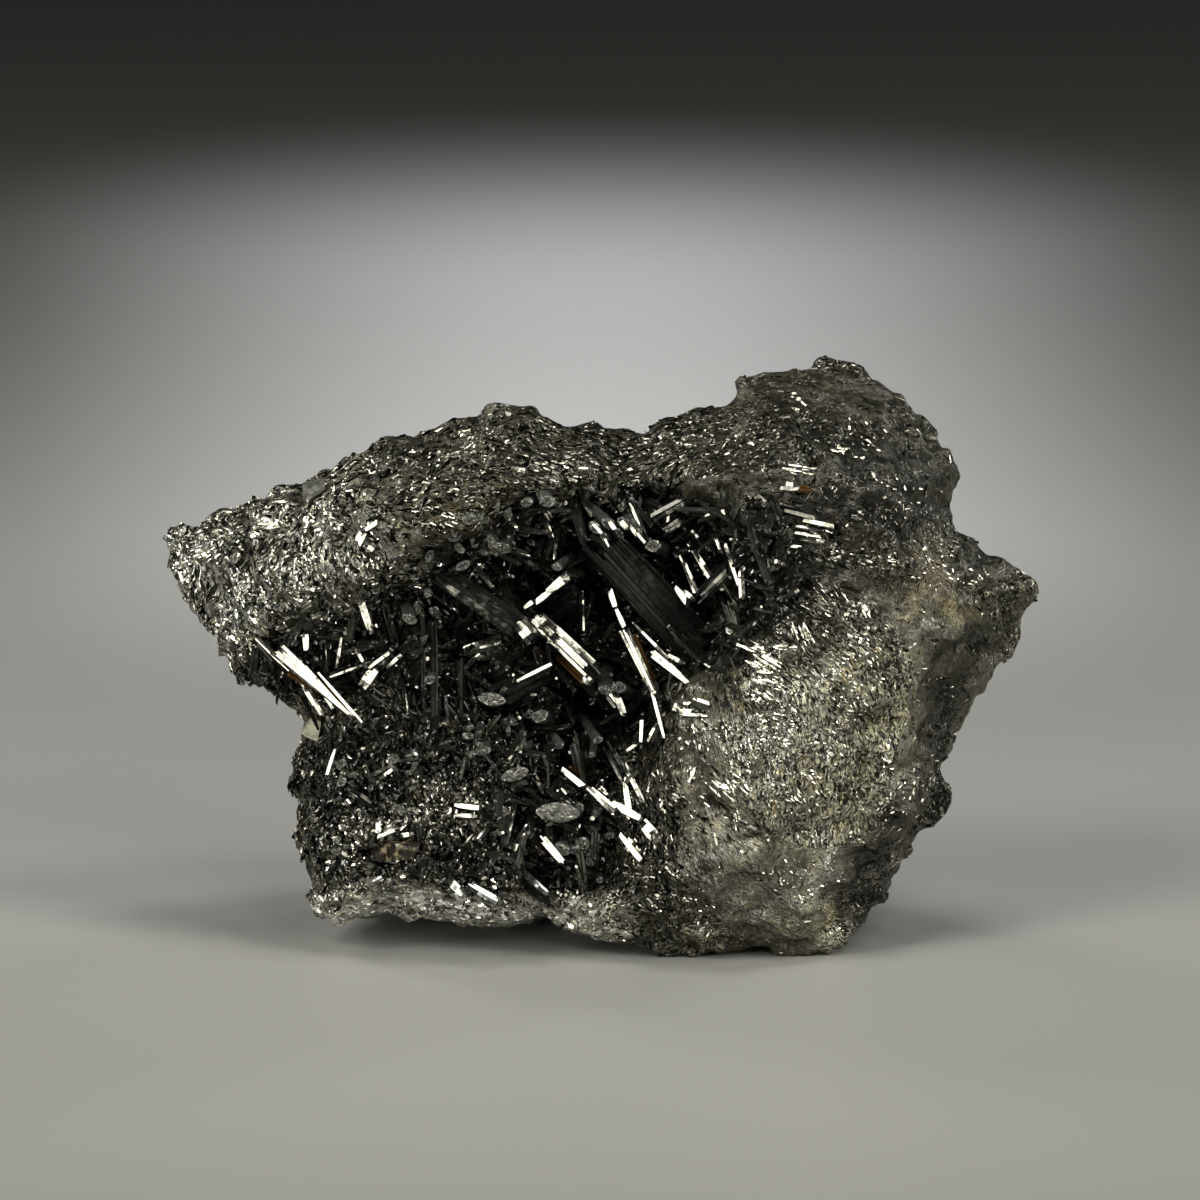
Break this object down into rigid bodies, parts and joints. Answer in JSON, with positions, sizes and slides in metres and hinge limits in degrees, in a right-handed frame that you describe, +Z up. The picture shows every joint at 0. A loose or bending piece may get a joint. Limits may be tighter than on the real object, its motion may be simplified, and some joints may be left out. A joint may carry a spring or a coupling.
{
  "type": "manganite crystal specimen",
  "caption": "Broken block of massive manganite that stands on its flat underside, with a hollow in its front lined by flat, ribbed, blade-like crystals.",
  "frame": {"origin": "on the surface that the specimen stands on, below the middle of its bounding box", "axes": "+X to the right along the specimen's width, +Y away from the viewer, +Z up; the crystal-lined hollow faces -Y"},
  "size_m": [0.088, 0.049, 0.0572],
  "materials": {
    "massive_manganite": "fine-grained, submetallic, grey-brown to steel grey",
    "manganite_crystals": "glossy, submetallic, black, ribbed along each crystal",
    "pale_calcite": "satin, cream grey",
    "grey_quartz": "glassy, pale grey",
    "brown_calcite": "glassy, brown with pale edges"
  },
  "bodies": {
    "root": {"matrix": "massive_manganite", "crystal_crust": "manganite_crystals", "calcite_chip": "pale_calcite", "quartz_grain": "grey_quartz", "brown_calcite_grain": "brown_calcite"}
  },
  "joints": []
}
